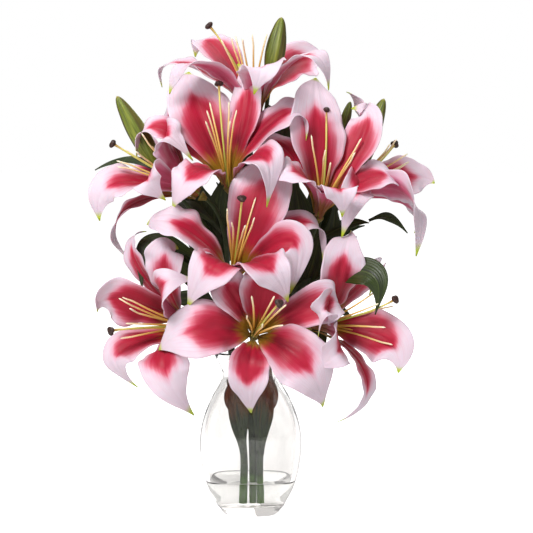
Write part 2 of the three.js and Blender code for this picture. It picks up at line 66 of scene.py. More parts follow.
# "at" is the foot of a bloom, with its height from the vase's rim. Crests, tips, filament ends
# and stigmas are [turn in degrees, distance out, height] about the bloom's own axis.
BLOOMS = {
  "centre": {
    "at": [-17, -45, 76], "heading": -79, "tilt": 36,
    "inner": [
      { "crest": [146, 43, 76], "tip": [148, 84, 94], "width": 56, "roll": 0 },
      { "crest": [262, 52, 62], "tip": [252, 88, 50], "width": 46, "roll": 0 },
      { "crest": [22, 46, 60], "tip": [38, 70, 22], "width": 44, "roll": 0 },
    ],
    "outer": [
      { "crest": [320, 42, 52], "tip": [308, 62, 2], "width": 44, "roll": 0 },
      { "crest": [72, 48, 62], "tip": [56, 60, 12], "width": 36, "roll": 80 },
      { "crest": [108, 66, 56], "tip": [88, 86, 24], "width": 30, "roll": 0 },
    ],
    "stigma": [179, 6, 98],
    "filaments": [[233, 17, 84], [318, 14, 85], [5, 15, 85], [70, 14, 84], [150, 40, 76], [169, 50, 72]],
  },
  "front": {
    "at": [4, -50, 23], "heading": -85, "tilt": 72,
    "inner": [
      { "crest": [271, 54, 42], "tip": [279, 94, 10], "width": 50, "roll": 0 },
      { "crest": [51, 52, 46], "tip": [42, 96, 4], "width": 52, "roll": 0 },
      { "crest": [169, 40, 51], "tip": [174, 66, 33], "width": 42, "roll": 0 },
    ],
    "outer": [
      { "crest": [346, 40, 34], "tip": [357, 74, -12], "width": 36, "roll": 0 },
      { "crest": [111, 66, 50], "tip": [101, 76, 14], "width": 38, "roll": 0 },
      { "crest": [217, 45, 49], "tip": [216, 64, 26], "width": 34, "roll": 0 },
    ],
    "stigma": [130, 21, 96],
    "filaments": [[150, 24, 82], [199, 22, 83], [251, 16, 85], [20, 6, 86], [77, 19, 84], [122, 27, 81]],
  },
  "upper_left": {
    "at": [-21, -29, 166], "heading": -102, "tilt": 34,
    "inner": [
      { "crest": [217, 50, 63], "tip": [210, 87, 84], "width": 56, "roll": 0 },
      { "crest": [122, 64, 60], "tip": [107, 80, 38], "width": 38, "roll": 0 },
      { "crest": [335, 42, 45], "tip": [322, 68, 14], "width": 38, "roll": 0 },
    ],
    "outer": [
      { "crest": [160, 50, 64], "tip": [176, 80, 90], "width": 30, "roll": 0 },
      { "crest": [62, 50, 54], "tip": [44, 70, 15], "width": 36, "roll": 0 },
      { "crest": [258, 60, 60], "tip": [276, 84, 42], "width": 30, "roll": 0 },
    ],
    "stigma": [189, 52, 86],
    "filaments": [[204, 38, 77], [240, 12, 86], [320, 14, 85], [61, 16, 84], [119, 19, 84], [170, 33, 80]],
  },
  "upper_right": {
    "at": [67, -29, 137], "heading": -71, "tilt": 34,
    "inner": [
      { "crest": [190, 43, 78], "tip": [178, 90, 102], "width": 54, "roll": 0 },
      { "crest": [85, 45, 50], "tip": [95, 78, 30], "width": 38, "roll": 0 },
      { "crest": [285, 36, 59], "tip": [277, 60, 50], "width": 42, "roll": 0 },
    ],
    "outer": [
      { "crest": [128, 52, 76], "tip": [150, 66, 88], "width": 34, "roll": 0 },
      { "crest": [352, 38, 62], "tip": [3, 44, 34], "width": 34, "roll": 0 },
      { "crest": [215, 56, 50], "tip": [232, 84, 40], "width": 26, "roll": 0 },
    ],
    "stigma": [174, 55, 88],
    "filaments": [[220, 30, 82], [290, 16, 84], [330, 26, 82], [60, 20, 84], [125, 46, 76], [158, 46, 76]],
  },
  "far_left": {
    "at": [-49, -30, 158], "heading": 187, "tilt": 60,
    "inner": [
      { "crest": [15, 28, 75], "tip": [356, 70, 72], "width": 40, "roll": -80 },
      { "crest": [145, 38, 57], "tip": [130, 40, 25], "width": 44, "roll": 0 },
      { "crest": [265, 60, 60], "tip": [270, 90, 50], "width": 38, "roll": 0 },
    ],
    "outer": [
      { "crest": [81, 54, 54], "tip": [66, 48, 30], "width": 34, "roll": 0 },
      { "crest": [205, 60, 62], "tip": [205, 88, 50], "width": 30, "roll": 0 },
      { "crest": [335, 60, 55], "tip": [336, 100, 26], "width": 30, "roll": 0 },
    ],
    "stigma": [232, 3, 98],
    "filaments": [[260, 12, 86], [325, 12, 87], [10, 14, 84], [100, 34, 78], [140, 30, 80], [187, 26, 82]],
  },
  "far_right": {
    "at": [86, 0, 152], "heading": 17, "tilt": 57,
    "inner": [
      { "crest": [290, 56, 48], "tip": [322, 98, 22], "width": 42, "roll": 0 },
      { "crest": [32, 30, 74], "tip": [14, 50, 100], "width": 40, "roll": 50 },
      { "crest": [175, 46, 62], "tip": [180, 84, 66], "width": 38, "roll": 0 },
    ],
    "outer": [
      { "crest": [345, 42, 54], "tip": [342, 72, 44], "width": 28, "roll": 0 },
      { "crest": [120, 52, 60], "tip": [120, 86, 48], "width": 30, "roll": 0 },
      { "crest": [255, 54, 12], "tip": [290, 58, -30], "width": 32, "roll": 0 },
    ],
    "stigma": [98, 33, 92],
    "filaments": [[120, 20, 84], [200, 16, 84], [270, 14, 84], [340, 12, 84], [30, 18, 84], [60, 30, 81]],
  },
  "top": {
    "at": [6, 5, 232], "heading": -149, "tilt": 14,
    "inner": [
      { "crest": [75, 60, 54], "tip": [62, 77, 33], "width": 42, "roll": 0 },
      { "crest": [188, 68, 42], "tip": [178, 92, 26], "width": 44, "roll": 70 },
      { "crest": [318, 60, 66], "tip": [322, 86, 49], "width": 34, "roll": 0 },
    ],
    "outer": [
      { "crest": [12, 56, 66], "tip": [357, 86, 46], "width": 34, "roll": 0 },
      { "crest": [116, 68, 54], "tip": [119, 86, 18], "width": 34, "roll": 0 },
      { "crest": [264, 68, 74], "tip": [272, 92, 66], "width": 36, "roll": 0 },
    ],
    "stigma": [318, 27, 99],
    "filaments": [[347, 19, 84], [13, 12, 85], [67, 24, 83], [109, 20, 84], [160, 28, 80], [250, 20, 84]],
  },
  "lower_left": {
    "at": [-52, -28, 29], "heading": 208, "tilt": 85,
    "inner": [
      { "crest": [222, 28, 72], "tip": [254, 28, 96], "width": 48, "roll": 30 },
      { "crest": [50, 47, 50], "tip": [21, 89, 12], "width": 46, "roll": -60 },
      { "crest": [165, 62, 48], "tip": [175, 76, 30], "width": 40, "roll": 50 },
    ],
    "outer": [
      { "crest": [343, 26, 76], "tip": [349, 64, 54], "width": 34, "roll": -40 },
      { "crest": [131, 58, 62], "tip": [134, 72, 32], "width": 36, "roll": 0 },
      { "crest": [202, 64, 60], "tip": [194, 92, 52], "width": 28, "roll": 0 },
    ],
    "stigma": [70, 14, 97],
    "filaments": [[100, 18, 84], [132, 24, 83], [187, 28, 81], [203, 25, 82], [300, 14, 84], [30, 16, 85]],
  },
  "lower_right": {
    "at": [60, -30, 30], "heading": -27, "tilt": 82,
    "inner": [
      { "crest": [28, 22, 70], "tip": [14, 56, 80], "width": 46, "roll": 70 },
      { "crest": [199, 55, 48], "tip": [176, 88, 52], "width": 44, "roll": -70 },
      { "crest": [288, 52, 50], "tip": [306, 60, 26], "width": 38, "roll": 0 },
    ],
    "outer": [
      { "crest": [146, 52, 56], "tip": [118, 46, 48], "width": 30, "roll": 0 },
      { "crest": [246, 54, 43], "tip": [276, 58, 34], "width": 32, "roll": 0 },
      { "crest": [354, 56, 54], "tip": [354, 96, 20], "width": 28, "roll": 0 },
    ],
    "stigma": [205, 21, 96],
    "filaments": [[225, 24, 82], [300, 14, 84], [16, 29, 81], [39, 30, 81], [116, 26, 82], [182, 31, 80]],
  },
}

BUDS = {
  "left": { "from": [-88, -25, 183], "tip": [-129, -30, 254], "radius": 10 },
  "top": { "from": [20, 10, 270], "tip": [31, 12, 332], "radius": 10 },
  "right": { "from": [104, 30, 171], "tip": [134, 22, 252], "radius": 10.5 },
  "small_upper": { "from": [93, 36, 219], "tip": [101, 38, 249], "radius": 5 },
  "small_lower": { "from": [90, 20, 209], "tip": [88, 20, 239], "radius": 5 },
}

# Places in the vase are [x, y] at STEM_LEVELS; forks are the heights at which stalks leave.
STEMS = {
  "left": {
    "inVase": [[-7.4, -3], [-7, -2], [-12.5, 0], [-17, 2]],
    "above": [[-22, 4, 35], [-24, 2, 97]],
    "blooms": ["upper_left", "far_left", "lower_left"],
    "buds": ["left"],
    "forks": [75, 60, 0, 85],
  },
  "middle": {
    "inVase": [[2.2, 3], [2, 3], [1, 5], [1, 7]],
    "above": [[3, 12, 35], [5, 16, 135]],
    "blooms": ["centre", "front", "top"],
    "buds": ["top"],
    "forks": [40, -5, 125, 120],
  },
  "right": {
    "inVase": [[9.6, -3], [9.4, -2], [13, 0], [17, 2]],
    "above": [[28, 6, 35], [44, 8, 85]],
    "blooms": ["upper_right", "far_right", "lower_right"],
    "buds": ["right", "small_upper", "small_lower"],
    "forks": [50, 70, 0, 75, 80, 65],
  },
}

# A leaf grows from a share of the way along the stem or stalk named in "on".
LEAVES = {
  "top_left": { "on": "top", "share": 0.85, "route": [[-14, 6, 231], [-20, 2, 243], [-11, -5, 255]],
    "face": [0, -1, 0.3], "width": 15 },
  "top_right": { "on": "top", "share": 0.6, "route": [[28, 12, 205], [36, 6, 231], [17, 2, 246]],
    "face": [0, -1, 0.3], "width": 19 },
  "upper_left": { "on": "upper_left", "share": 0.3, "route": [[-42, 8, 125], [-54, 10, 147], [-50, 5, 171]],
    "face": [0, -1, 0.2], "width": 27 },
  "under_left": { "on": "far_left", "share": 0.55, "route": [[-48, 2, 141], [-62, -4, 150], [-78, -10, 145]],
    "face": [0, -0.6, 0.8], "width": 15 },
  "far_left": { "on": "left_bud", "share": 0.9, "route": [[-95, -10, 190], [-124, 6, 200], [-155, 6, 181]],
    "face": [0, -0.7, 0.7], "width": 8 },
  "middle_left": { "on": "left", "share": 0.9, "route": [[-80, -8, 125], [-116, -20, 130], [-105, -36, 63]],
    "face": [0, -0.8, 0.6], "width": 19 },
  "lower_left": { "on": "lower_left", "share": 0.5, "route": [[-50, -6, 49], [-70, -14, 39], [-82, -22, 13]],
    "face": [0, -0.7, 0.7], "width": 20 },
  "centre_right": { "on": "right", "share": 0.98, "route": [[42, 10, 130], [32, 12, 167], [34, 2, 203]],
    "face": [0, -1, 0.2], "width": 26 },
  "upper_right": { "on": "far_right", "share": 0.35, "route": [[74, 6, 115], [98, 0, 133], [118, -5, 129]],
    "face": [0, -0.7, 0.7], "width": 15 },
  "folded_right": { "on": "right", "share": 0.85, "route": [[88, -50, 92], [136, -84, 108], [120, -70, 46]],
    "face": [0, -0.9, 0.5], "width": 29 },
  "middle_right": { "on": "right", "share": 0.8, "route": [[56, 10, 75], [66, 10, 97], [76, 6, 111]],
    "face": [0, -0.9, 0.3], "width": 18 },
  "lower_right": { "on": "lower_right", "share": 0.5, "route": [[55, -8, 37], [74, -22, 35], [72, -32, 1]],
    "face": [0, -0.9, 0.5], "width": 15 },
  "neck_left": { "on": "left", "share": 0.35, "route": [[-20, -5, -62], [-25, -8, -45], [-13, -8, -22]],
    "face": [-0.3, -1, 0], "width": 12 },
  "neck_right": { "on": "right", "share": 0.35, "route": [[20, -6, -62], [27, -8, -43], [13, -8, -17]],
    "face": [0.3, -1, 0], "width": 12 },
}

# ---------------------------------------------------------------- curves and places
def around(turn, out, up):
    angle = math.radians(turn)
    return Vector((out * math.cos(angle), out * math.sin(angle), up))


def from_rim(point):
    return Vector((point[0], point[1], RIM + point[2]))


def bezier(points, share):
    """The point at a share of a Bezier curve, and the curve's direction there."""
    points = [Vector(p) for p in points]
    while len(points) > 2:
        points = [a.lerp(b, share) for a, b in zip(points, points[1:])]
    return points[0].lerp(points[1], share), (points[1] - points[0]).normalized()


def through(points, share):
    """The same along a smooth curve that passes through points."""
    place = min(max(share, 0.0), 1.0) * (len(points) - 1)
    index = min(int(place), len(points) - 2)
    t = place - index
    b, c = Vector(points[index]), Vector(points[index + 1])
    a = Vector(points[index - 1]) if index else 2 * b - c
    d = Vector(points[index + 2]) if index + 2 < len(points) else 2 * c - b
    point = 0.5 * (2 * b + (c - a) * t + (2 * a - 5 * b + 4 * c - d) * t * t
                   + (3 * b - a - 3 * c + d) * t ** 3)
    slope = 0.5 * (c - a + 2 * (2 * a - 5 * b + 4 * c - d) * t + 3 * (3 * b - a - 3 * c + d) * t * t)
    return point, slope.normalized()


def smoothstep(low, high, value):
    t = min(max((value - low) / (high - low), 0.0), 1.0)
    return t * t * (3 - 2 * t)


def frame_of(at, axis=None, heading=0, tilt=0):
    """The placing of a bloom or bud: its foot at `at`, its own Z along its axis."""
    if axis is None:
        turn = Matrix.Rotation(math.radians(heading), 4, "Z") @ Matrix.Rotation(math.radians(tilt), 4, "Y")
    else:
        turn = Vector((0, 0, 1)).rotation_difference(axis).to_matrix().to_4x4()
    return Matrix.Translation(at) @ turn


# ---------------------------------------------------------------- meshes
class Piece:
    """A mesh in the making. Its faces carry the map "surface" (across, along) and a seed."""

    def __init__(self):
        self.bm = bmesh.new()
        self.uv = self.bm.loops.layers.uv.new("surface")
        self.seed = self.bm.verts.layers.float.new("seed")

    def sheet(self, across, along, place, seed=0.0, material=0, wrapped=False):
        """A grid whose corners are moved to place(u, v), with u and v from 0 to 1."""
        made = bmesh.ops.create_grid(self.bm, x_segments=across, y_segments=along, size=0.5,
                                     calc_uvs=False)["verts"]
        faces = {face for vert in made for face in vert.link_faces}
        for face in faces:
            face.smooth = True
            face.material_index = material
            for loop in face.loops:
                loop[self.uv].uv = (loop.vert.co.x + 0.5, loop.vert.co.y + 0.5)
        for vert in made:
            vert[self.seed] = seed
            vert.co = place(vert.co.x + 0.5, vert.co.y + 0.5) * MM
        if wrapped:
            bmesh.ops.remove_doubles(self.bm, verts=made, dist=1e-6)
        return faces

    def tube(self, curve, radius, sides=12, along=32, seed=0.0, material=0, section=None):
        """A round bar: curve(v) gives its middle and direction, radius(v) its radius."""
        side = None
        rings = []
        for step in range(along + 1):
            middle, forward = curve(step / along)
            if side is None:
                side = forward.orthogonal().normalized()
            side = (side - forward * side.dot(forward)).normalized()
            rings.append((middle, side, forward.cross(side)))

        def place(u, v):
            middle, first, second = rings[round(v * along)]
            angle = math.tau * u
            reach = radius(v) * (section(u, v) if section else 1)
            return middle + (first * math.cos(angle) + second * math.sin(angle)) * reach

        return self.sheet(sides, along, place, seed, material, wrapped=True)

    def finish(self, name, materials, node, thickness=0.0, outward=True):
        if outward:
            bmesh.ops.recalc_face_normals(self.bm, faces=self.bm.faces)
        mesh = bpy.data.meshes.new(name)
        self.bm.to_mesh(mesh)
        self.bm.free()
        for material in materials:
            mesh.materials.append(material)
        piece = bpy.data.objects.new(name, mesh)
        bpy.context.scene.collection.objects.link(piece)
        if thickness:
            shell = piece.modifiers.new("thickness", "SOLIDIFY")
            shell.thickness = thickness * MM
            shell.offset = 0
            shell.material_offset = 1
            shell.material_offset_rim = 1
        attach(piece, "root")
        if node:
            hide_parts(node)
        return piece


# ---------------------------------------------------------------- materials
def srgb(red, green, blue):
    def linear(value):
        value /= 255
        return value / 12.92 if value <= 0.04045 else ((value + 0.055) / 1.055) ** 2.4
    return (linear(red), linear(green), linear(blue), 1.0)


class Paint:
    """A new material, with short ways to add nodes to its tree."""

    def __init__(self, name, **shader):
        self.material = bpy.data.materials.new(name)
        self.material.use_nodes = True
        self.tree = self.material.node_tree
        self.shader = self.tree.nodes["Principled BSDF"]
        for key, value in shader.items():
            self.shader.inputs[key.replace("_", " ")].default_value = value

    def put(self, socket, value):
        if isinstance(value, bpy.types.NodeSocket):
            self.tree.links.new(value, socket)
        else:
            socket.default_value = value

    def node(self, kind, *values, **settings):
        made = self.tree.nodes.new(kind)
        for key, value in settings.items():
            setattr(made, key, value)
        for socket, value in zip(made.inputs, values):
            if value is not None:
                self.put(socket, value)
        return made

    def math(self, operation, *values):
        return self.node("ShaderNodeMath", *values, operation=operation).outputs[0]

    def mix(self, share, first, second):
        made = self.tree.nodes.new("ShaderNodeMix")
        made.data_type = "RGBA"
        for index, value in ((0, share), (6, first), (7, second)):
            self.put(made.inputs[index], value)
        return made.outputs[2]

    def rise(self, value, low, high):
        """0 below low, 1 above high, smooth between."""
        made = self.node("ShaderNodeMapRange", value, low, high, 0.0, 1.0,
                         interpolation_type="SMOOTHSTEP")
        return made.outputs[0]

    def ramp(self, value, *stops):
        made = self.node("ShaderNodeValToRGB", value)
        elements = made.color_ramp.elements
        while len(elements) < len(stops):
            elements.new(0.5)
        for element, (place, color) in zip(elements, stops):
            element.position = place
            element.color = color if isinstance(color, tuple) else (color, color, color, 1)
        return made.outputs[0]

    def grain(self, x, y, z, detail=2.0):
        """Noise over three stretched coordinates."""
        vector = self.node("ShaderNodeCombineXYZ", x, y, z).outputs[0]
        made = self.node("ShaderNodeTexNoise", noise_dimensions="3D")
        self.put(made.inputs["Vector"], vector)
        self.put(made.inputs["Scale"], 1.0)
        self.put(made.inputs["Detail"], detail)
        return made.outputs[0]

    def surface(self):
        """Across, along and the seed of the piece's own map."""
        spot = self.node("ShaderNodeUVMap", uv_map="surface").outputs[0]
        split = self.node("ShaderNodeSeparateXYZ", spot)
        seed = self.node("ShaderNodeAttribute", attribute_name="seed").outputs["Fac"]
        return split.outputs[0], split.outputs[1], seed

    def place(self):
        spot = self.node("ShaderNodeTexCoord").outputs["Object"]
        return self.node("ShaderNodeSeparateXYZ", spot).outputs

    def bump(self, height, strength, distance):
        made = self.tree.nodes.new("ShaderNodeBump")
        made.inputs["Strength"].default_value = strength
        made.inputs["Distance"].default_value = distance
        self.put(made.inputs["Height"], height)
        self.put(self.shader.inputs["Normal"], made.outputs[0])

    def color(self, value):
        self.put(self.shader.inputs["Base Color"], value)

    def roughness(self, value):
        self.put(self.shader.inputs["Roughness"], value)


def petal_paint(name, deep_and_shade, heart, middle, rim, margin, throat, tip, soft):
    """A coloured heart that ends short of the tip and fades to a pale margin, in fine streaks."""
    paint = Paint(name, Subsurface_Weight=0.06, Subsurface_Scale=0.002, Specular_IOR_Level=0.3,
                  Sheen_Weight=0.05)
    across, along, seed = paint.surface()
    side = paint.math("ABSOLUTE", paint.math("MULTIPLY_ADD", across, 2.0, -1.0))
    shift = paint.math("MULTIPLY", seed, 17.0)
    streak = paint.grain(paint.math("MULTIPLY", across, 14.0), paint.math("MULTIPLY", along, 1.8),
                         shift, 3.0)
    thread = paint.grain(paint.math("MULTIPLY", across, 60.0), paint.math("MULTIPLY", along, 3.5), shift)
    cloud = paint.grain(paint.math("MULTIPLY", across, 2.2), paint.math("MULTIPLY", along, 4.0), shift)
    reach = paint.ramp(along, (0.0, 1.0), (0.34, 0.88), (0.5, 0.81), (0.62, 0.7), (0.7, 0.52),
                       (0.77, 0.3), (0.86, 0.0))
    wider = paint.math("FRACT", paint.math("MULTIPLY", seed, 4.3))
    reach = paint.math("MULTIPLY_ADD", reach, 1.8, paint.math("MULTIPLY_ADD", wider, 0.3, -0.72))
    edge = paint.math("ADD", side, paint.math("MULTIPLY", paint.math("SUBTRACT", streak, 0.5), 0.3))
    edge = paint.math("ADD", edge, paint.math("MULTIPLY", paint.math("SUBTRACT", cloud, 0.5), 0.5))
    beyond = paint.math("SUBTRACT", edge, reach)
    colored = paint.math("SUBTRACT", 1.0, paint.rise(beyond, -soft, soft))
    inside = paint.ramp(paint.math("ADD", beyond, 1.0), (0.2, heart), (0.55, heart), (0.84, middle),
                        (1.0, rim))
    skin = paint.mix(colored, margin, inside)
    # Partly painted shade: toward the throat, over the lower half of the coloured heart, the petal darkens to
    # a deep colour. This is partly the petal's own deeper colour and partly shade falling into the bloom.
    inner_half = paint.ramp(along, (0.1, 0.9), (0.34, 0.8), (0.52, 0.4), (0.68, 0.0))
    shade = paint.math("MULTIPLY", colored, inner_half)
    skin = paint.mix(paint.math("MULTIPLY", shade, paint.rise(cloud, 0.25, 0.75)), skin, deep_and_shade)
    skin = paint.mix(paint.math("MULTIPLY", paint.rise(thread, 0.45, 0.75), 0.22), skin,
                     paint.mix(colored, rim, heart))
    low = paint.math("ADD", along, paint.math("MULTIPLY", paint.math("SUBTRACT", streak, 0.5), 0.2))
    skin = paint.mix(paint.math("SUBTRACT", 1.0, paint.rise(low, 0.17, 0.32)), skin, throat)
    skin = paint.mix(paint.rise(along, 0.94, 0.985), skin, tip)
    paint.color(skin)
    paint.roughness(paint.ramp(thread, (0.3, 0.42), (0.8, 0.6)))
    paint.bump(paint.math("ADD", paint.math("MULTIPLY", streak, 0.8), thread), 0.35, 0.0008)
    return paint.material


petal_face = petal_paint(
    "petal face", deep_and_shade=srgb(96, 2, 22), heart=srgb(172, 18, 50), middle=srgb(204, 64, 94),
    rim=srgb(222, 140, 164), margin=srgb(218, 200, 212), throat=srgb(150, 112, 20),
    tip=srgb(180, 196, 44), soft=0.36)
petal_back = petal_paint(
    "petal back", deep_and_shade=srgb(168, 44, 74), heart=srgb(196, 84, 116), middle=srgb(214, 134, 162),
    rim=srgb(226, 182, 202), margin=srgb(216, 196, 208), throat=srgb(124, 70, 24),
    tip=srgb(176, 190, 60), soft=0.34)


def filament_paint():
    paint = Paint("filament", Subsurface_Weight=0.1, Subsurface_Scale=0.001, Specular_IOR_Level=0.4)
    across, along, seed = paint.surface()
    speck = paint.grain(paint.math("MULTIPLY", across, 4.0), paint.math("MULTIPLY", along, 30.0),
                        paint.math("MULTIPLY", seed, 9.0))
    tone = paint.math("ADD", along, paint.math("MULTIPLY", paint.math("SUBTRACT", speck, 0.5), 0.2))
    paint.color(paint.ramp(tone, (0.0, srgb(150, 140, 40)), (0.35, srgb(208, 160, 60)),
                           (0.75, srgb(232, 190, 110)), (0.93, srgb(244, 222, 180)),
                           (1.0, srgb(250, 240, 214))))
    paint.roughness(paint.ramp(speck, (0.3, 0.4), (0.7, 0.6)))
    paint.bump(speck, 0.3, 0.0004)
    return paint.material


def pistil_paint():
    paint = Paint("pistil", Subsurface_Weight=0.08, Subsurface_Scale=0.001)
    across, along, seed = paint.surface()
    speck = paint.grain(paint.math("MULTIPLY", across, 5.0), paint.math("MULTIPLY", along, 24.0),
                        paint.math("MULTIPLY", seed, 9.0))
    tone = paint.math("ADD", along, paint.math("MULTIPLY", paint.math("SUBTRACT", speck, 0.5), 0.12))
    paint.color(paint.ramp(tone, (0.0, srgb(150, 160, 60)), (0.5, srgb(190, 196, 90)),
                           (0.9, srgb(214, 200, 110)), (1.0, srgb(160, 110, 60))))
    paint.roughness(paint.ramp(speck, (0.3, 0.4), (0.7, 0.6)))
    paint.bump(speck, 0.3, 0.0004)
    return paint.material


def stigma_paint():
    paint = Paint("stigma", Specular_IOR_Level=0.45)
    x, y, z = paint.place()
    grain = paint.grain(*[paint.math("MULTIPLY", axis, 900.0) for axis in (x, y, z)], 3.0)
    paint.color(paint.ramp(grain, (0.3, srgb(30, 16, 14)), (0.55, srgb(58, 34, 28)),
                           (0.8, srgb(104, 66, 48))))
    paint.roughness(paint.ramp(grain, (0.3, 0.35), (0.7, 0.65)))
    paint.bump(grain, 0.6, 0.0006)
    return paint.material


def bud_paint():
    paint = Paint("bud", Subsurface_Weight=0.06, Subsurface_Scale=0.002)
    across, along, seed = paint.surface()
    shift = paint.math("MULTIPLY", seed, 13.0)
    streak = paint.grain(paint.math("MULTIPLY", across, 24.0), paint.math("MULTIPLY", along, 3.0), shift, 3.0)
    thread = paint.grain(paint.math("MULTIPLY", across, 70.0), paint.math("MULTIPLY", along, 6.0), shift)
    skin = paint.ramp(streak, (0.3, srgb(64, 70, 12)), (0.5, srgb(98, 110, 24)), (0.72, srgb(136, 142, 48)))
    ridge = paint.math("ABSOLUTE", paint.math("SINE", paint.math("MULTIPLY", across, 3 * math.tau / 2)))
    skin = paint.mix(paint.math("MULTIPLY", paint.rise(ridge, 0.75, 1.0), 0.55), skin, srgb(72, 40, 16))
    skin = paint.mix(paint.math("MULTIPLY", paint.rise(along, 0.8, 1.0), 0.7), skin, srgb(184, 168, 80))
    skin = paint.mix(paint.math("SUBTRACT", 1.0, paint.rise(along, 0.0, 0.18)), skin, srgb(70, 84, 26))
    paint.color(skin)
    paint.roughness(paint.ramp(thread, (0.3, 0.4), (0.7, 0.58)))
    paint.bump(paint.math("ADD", streak, thread), 0.4, 0.0009)
    return paint.material


def leaf_paint(name, dark, light, vein, shine, end=None):
    """A ribbed leaf. With `end`, a second color takes over along the outer half."""
    paint = Paint(name, Specular_IOR_Level=0.4)
    across, along, seed = paint.surface()
    shift = paint.math("MULTIPLY", seed, 11.0)
    side = paint.math("ABSOLUTE", paint.math("MULTIPLY_ADD", across, 2.0, -1.0))
    streak = paint.grain(paint.math("MULTIPLY", across, 9.0), paint.math("MULTIPLY", along, 2.2), shift, 3.0)
    thread = paint.grain(paint.math("MULTIPLY", across, 50.0), paint.math("MULTIPLY", along, 3.0), shift)
    skin = paint.ramp(streak, (0.3, dark), (0.72, light))
    lines = paint.math("SINE", paint.math("MULTIPLY", across, 11 * math.tau))
    skin = paint.mix(paint.math("MULTIPLY", paint.rise(lines, 0.5, 1.0), 0.22), skin, vein)
    rib = paint.math("SUBTRACT", 1.0, paint.rise(side, 0.02, 0.1))
    skin = paint.mix(paint.math("MULTIPLY", rib, 0.5), skin, vein)
    if end:
        outer = paint.math("ADD", along, paint.math("MULTIPLY", paint.math("SUBTRACT", streak, 0.5), 0.5))
        skin = paint.mix(paint.math("MULTIPLY", paint.rise(outer, 0.45, 0.75), 0.85), skin, end)
    paint.color(skin)
    paint.roughness(paint.ramp(thread, (0.3, shine), (0.75, shine + 0.2)))
    paint.bump(paint.math("ADD", paint.math("MULTIPLY", lines, 0.25), thread), 0.35, 0.0008)
    return paint.material


leaf_face = leaf_paint("leaf face", srgb(20, 30, 8), srgb(50, 64, 16), srgb(74, 88, 34), 0.34)
leaf_back = leaf_paint("leaf back", srgb(50, 62, 40), srgb(84, 98, 70), srgb(104, 116, 84), 0.5)
dry_leaf = leaf_paint("dry leaf", srgb(66, 36, 10), srgb(128, 74, 20), srgb(44, 26, 10), 0.5)
sheath = leaf_paint("stem sheath", srgb(22, 34, 10), srgb(58, 74, 26), srgb(30, 34, 14), 0.45,
                    end=srgb(112, 62, 16))


def stem_paint():
    """Bright green in the water, dull above it, dark and brown in the vase's neck."""
    paint = Paint("stem", Specular_IOR_Level=0.4)
    x, y, z = paint.place()
    streak = paint.grain(paint.math("MULTIPLY", x, 900.0), paint.math("MULTIPLY", y, 900.0),
                         paint.math("MULTIPLY", z, 40.0), 3.0)
    height = paint.math("ADD", paint.math("MULTIPLY", z, 5.0),
                        paint.math("MULTIPLY", paint.math("SUBTRACT", streak, 0.5), 0.05))
    skin = paint.ramp(height, (0.0, srgb(84, 128, 10)), (0.17, srgb(74, 118, 14)), (0.2, srgb(44, 66, 22)),
                      (0.36, srgb(34, 48, 18)), (0.52, srgb(34, 34, 18)), (0.72, srgb(26, 24, 12)),
                      (0.86, srgb(34, 42, 14)), (1.0, srgb(48, 62, 22)))
    skin = paint.mix(paint.math("MULTIPLY", paint.rise(streak, 0.5, 0.8), 0.45), skin, srgb(24, 34, 8))
    paint.color(skin)
    paint.roughness(paint.ramp(streak, (0.3, 0.4), (0.7, 0.6)))
    paint.bump(streak, 0.5, 0.001)
    return paint.material


def receptacle_paint():
    paint = Paint("receptacle", Specular_IOR_Level=0.4)
    x, y, z = paint.place()
    streak = paint.grain(*[paint.math("MULTIPLY", axis, 400.0) for axis in (x, y, z)], 3.0)
    paint.color(paint.ramp(streak, (0.3, srgb(84, 88, 26)), (0.55, srgb(128, 110, 40)),
                           (0.8, srgb(150, 92, 40))))
    paint.roughness(paint.ramp(streak, (0.3, 0.4), (0.7, 0.6)))
    paint.bump(streak, 0.4, 0.0008)
    return paint.material


def glass_paint():
    """Clear, faintly grey, with a painted rosy brown shade at the edges where the wall is seen side on."""
    paint = Paint("clear glass", Transmission_Weight=1.0, IOR=1.5)
    x, y, z = paint.place()
    wave = paint.grain(*[paint.math("MULTIPLY", axis, scale)
                         for axis, scale in ((x, 40.0), (y, 40.0), (z, 16.0))])
    clear = paint.ramp(wave, (0.3, (0.77, 0.765, 0.755, 1)), (0.7, (0.84, 0.83, 0.82, 1)))
    turned = paint.node("ShaderNodeLayerWeight", 0.5).outputs["Facing"]
    # Painted shade: the colour darkens to rosy brown where the wall is seen side on, standing in for the dark
    # reflections at the glass's edges.
    paint.color(paint.mix(paint.rise(turned, 0.7, 1.0), clear, (0.46, 0.37, 0.35, 1)))
    paint.roughness(paint.ramp(wave, (0.3, 0.0), (0.8, 0.02)))
    paint.bump(wave, 0.08, 0.004)
    inside = paint.node("ShaderNodeVolumeAbsorption", (0.8, 0.76, 0.74, 1), 16.0)
    paint.tree.links.new(inside.outputs[0], paint.tree.nodes["Material Output"].inputs["Volume"])
    return paint.material


def water_paint():
    paint = Paint("water", Transmission_Weight=1.0, IOR=1.33)
    x, y, z = paint.place()
    wave = paint.grain(*[paint.math("MULTIPLY", axis, 60.0) for axis in (x, y, z)])
    paint.color(paint.ramp(wave, (0.3, (0.93, 0.94, 0.93, 1)), (0.7, (0.98, 0.98, 0.975, 1))))
    paint.roughness(paint.ramp(wave, (0.3, 0.0), (0.8, 0.015)))
    paint.bump(wave, 0.04, 0.002)
    return paint.material


filament_material = filament_paint()
pistil_material = pistil_paint()
stigma_material = stigma_paint()
bud_material = bud_paint()
stem_material = stem_paint()
receptacle_material = receptacle_paint()


# ---------------------------------------------------------------- vase and water
def ring_at(height):
    """Half width and half depth of the vase's outside at a height."""
    levels = [ring[2] * RIM for ring in VASE_OUTLINE]
    for index, (low, high) in enumerate(zip(levels, levels[1:])):
        if height <= high:
            break
    share = min(max((height - low) / (high - low), 0.0), 1.0)
    point, _ = through(VASE_OUTLINE, (index + share) / (len(levels) - 1))
    return point.x * VASE_HALF_WIDTH, point.y * VASE_HALF_DEPTH


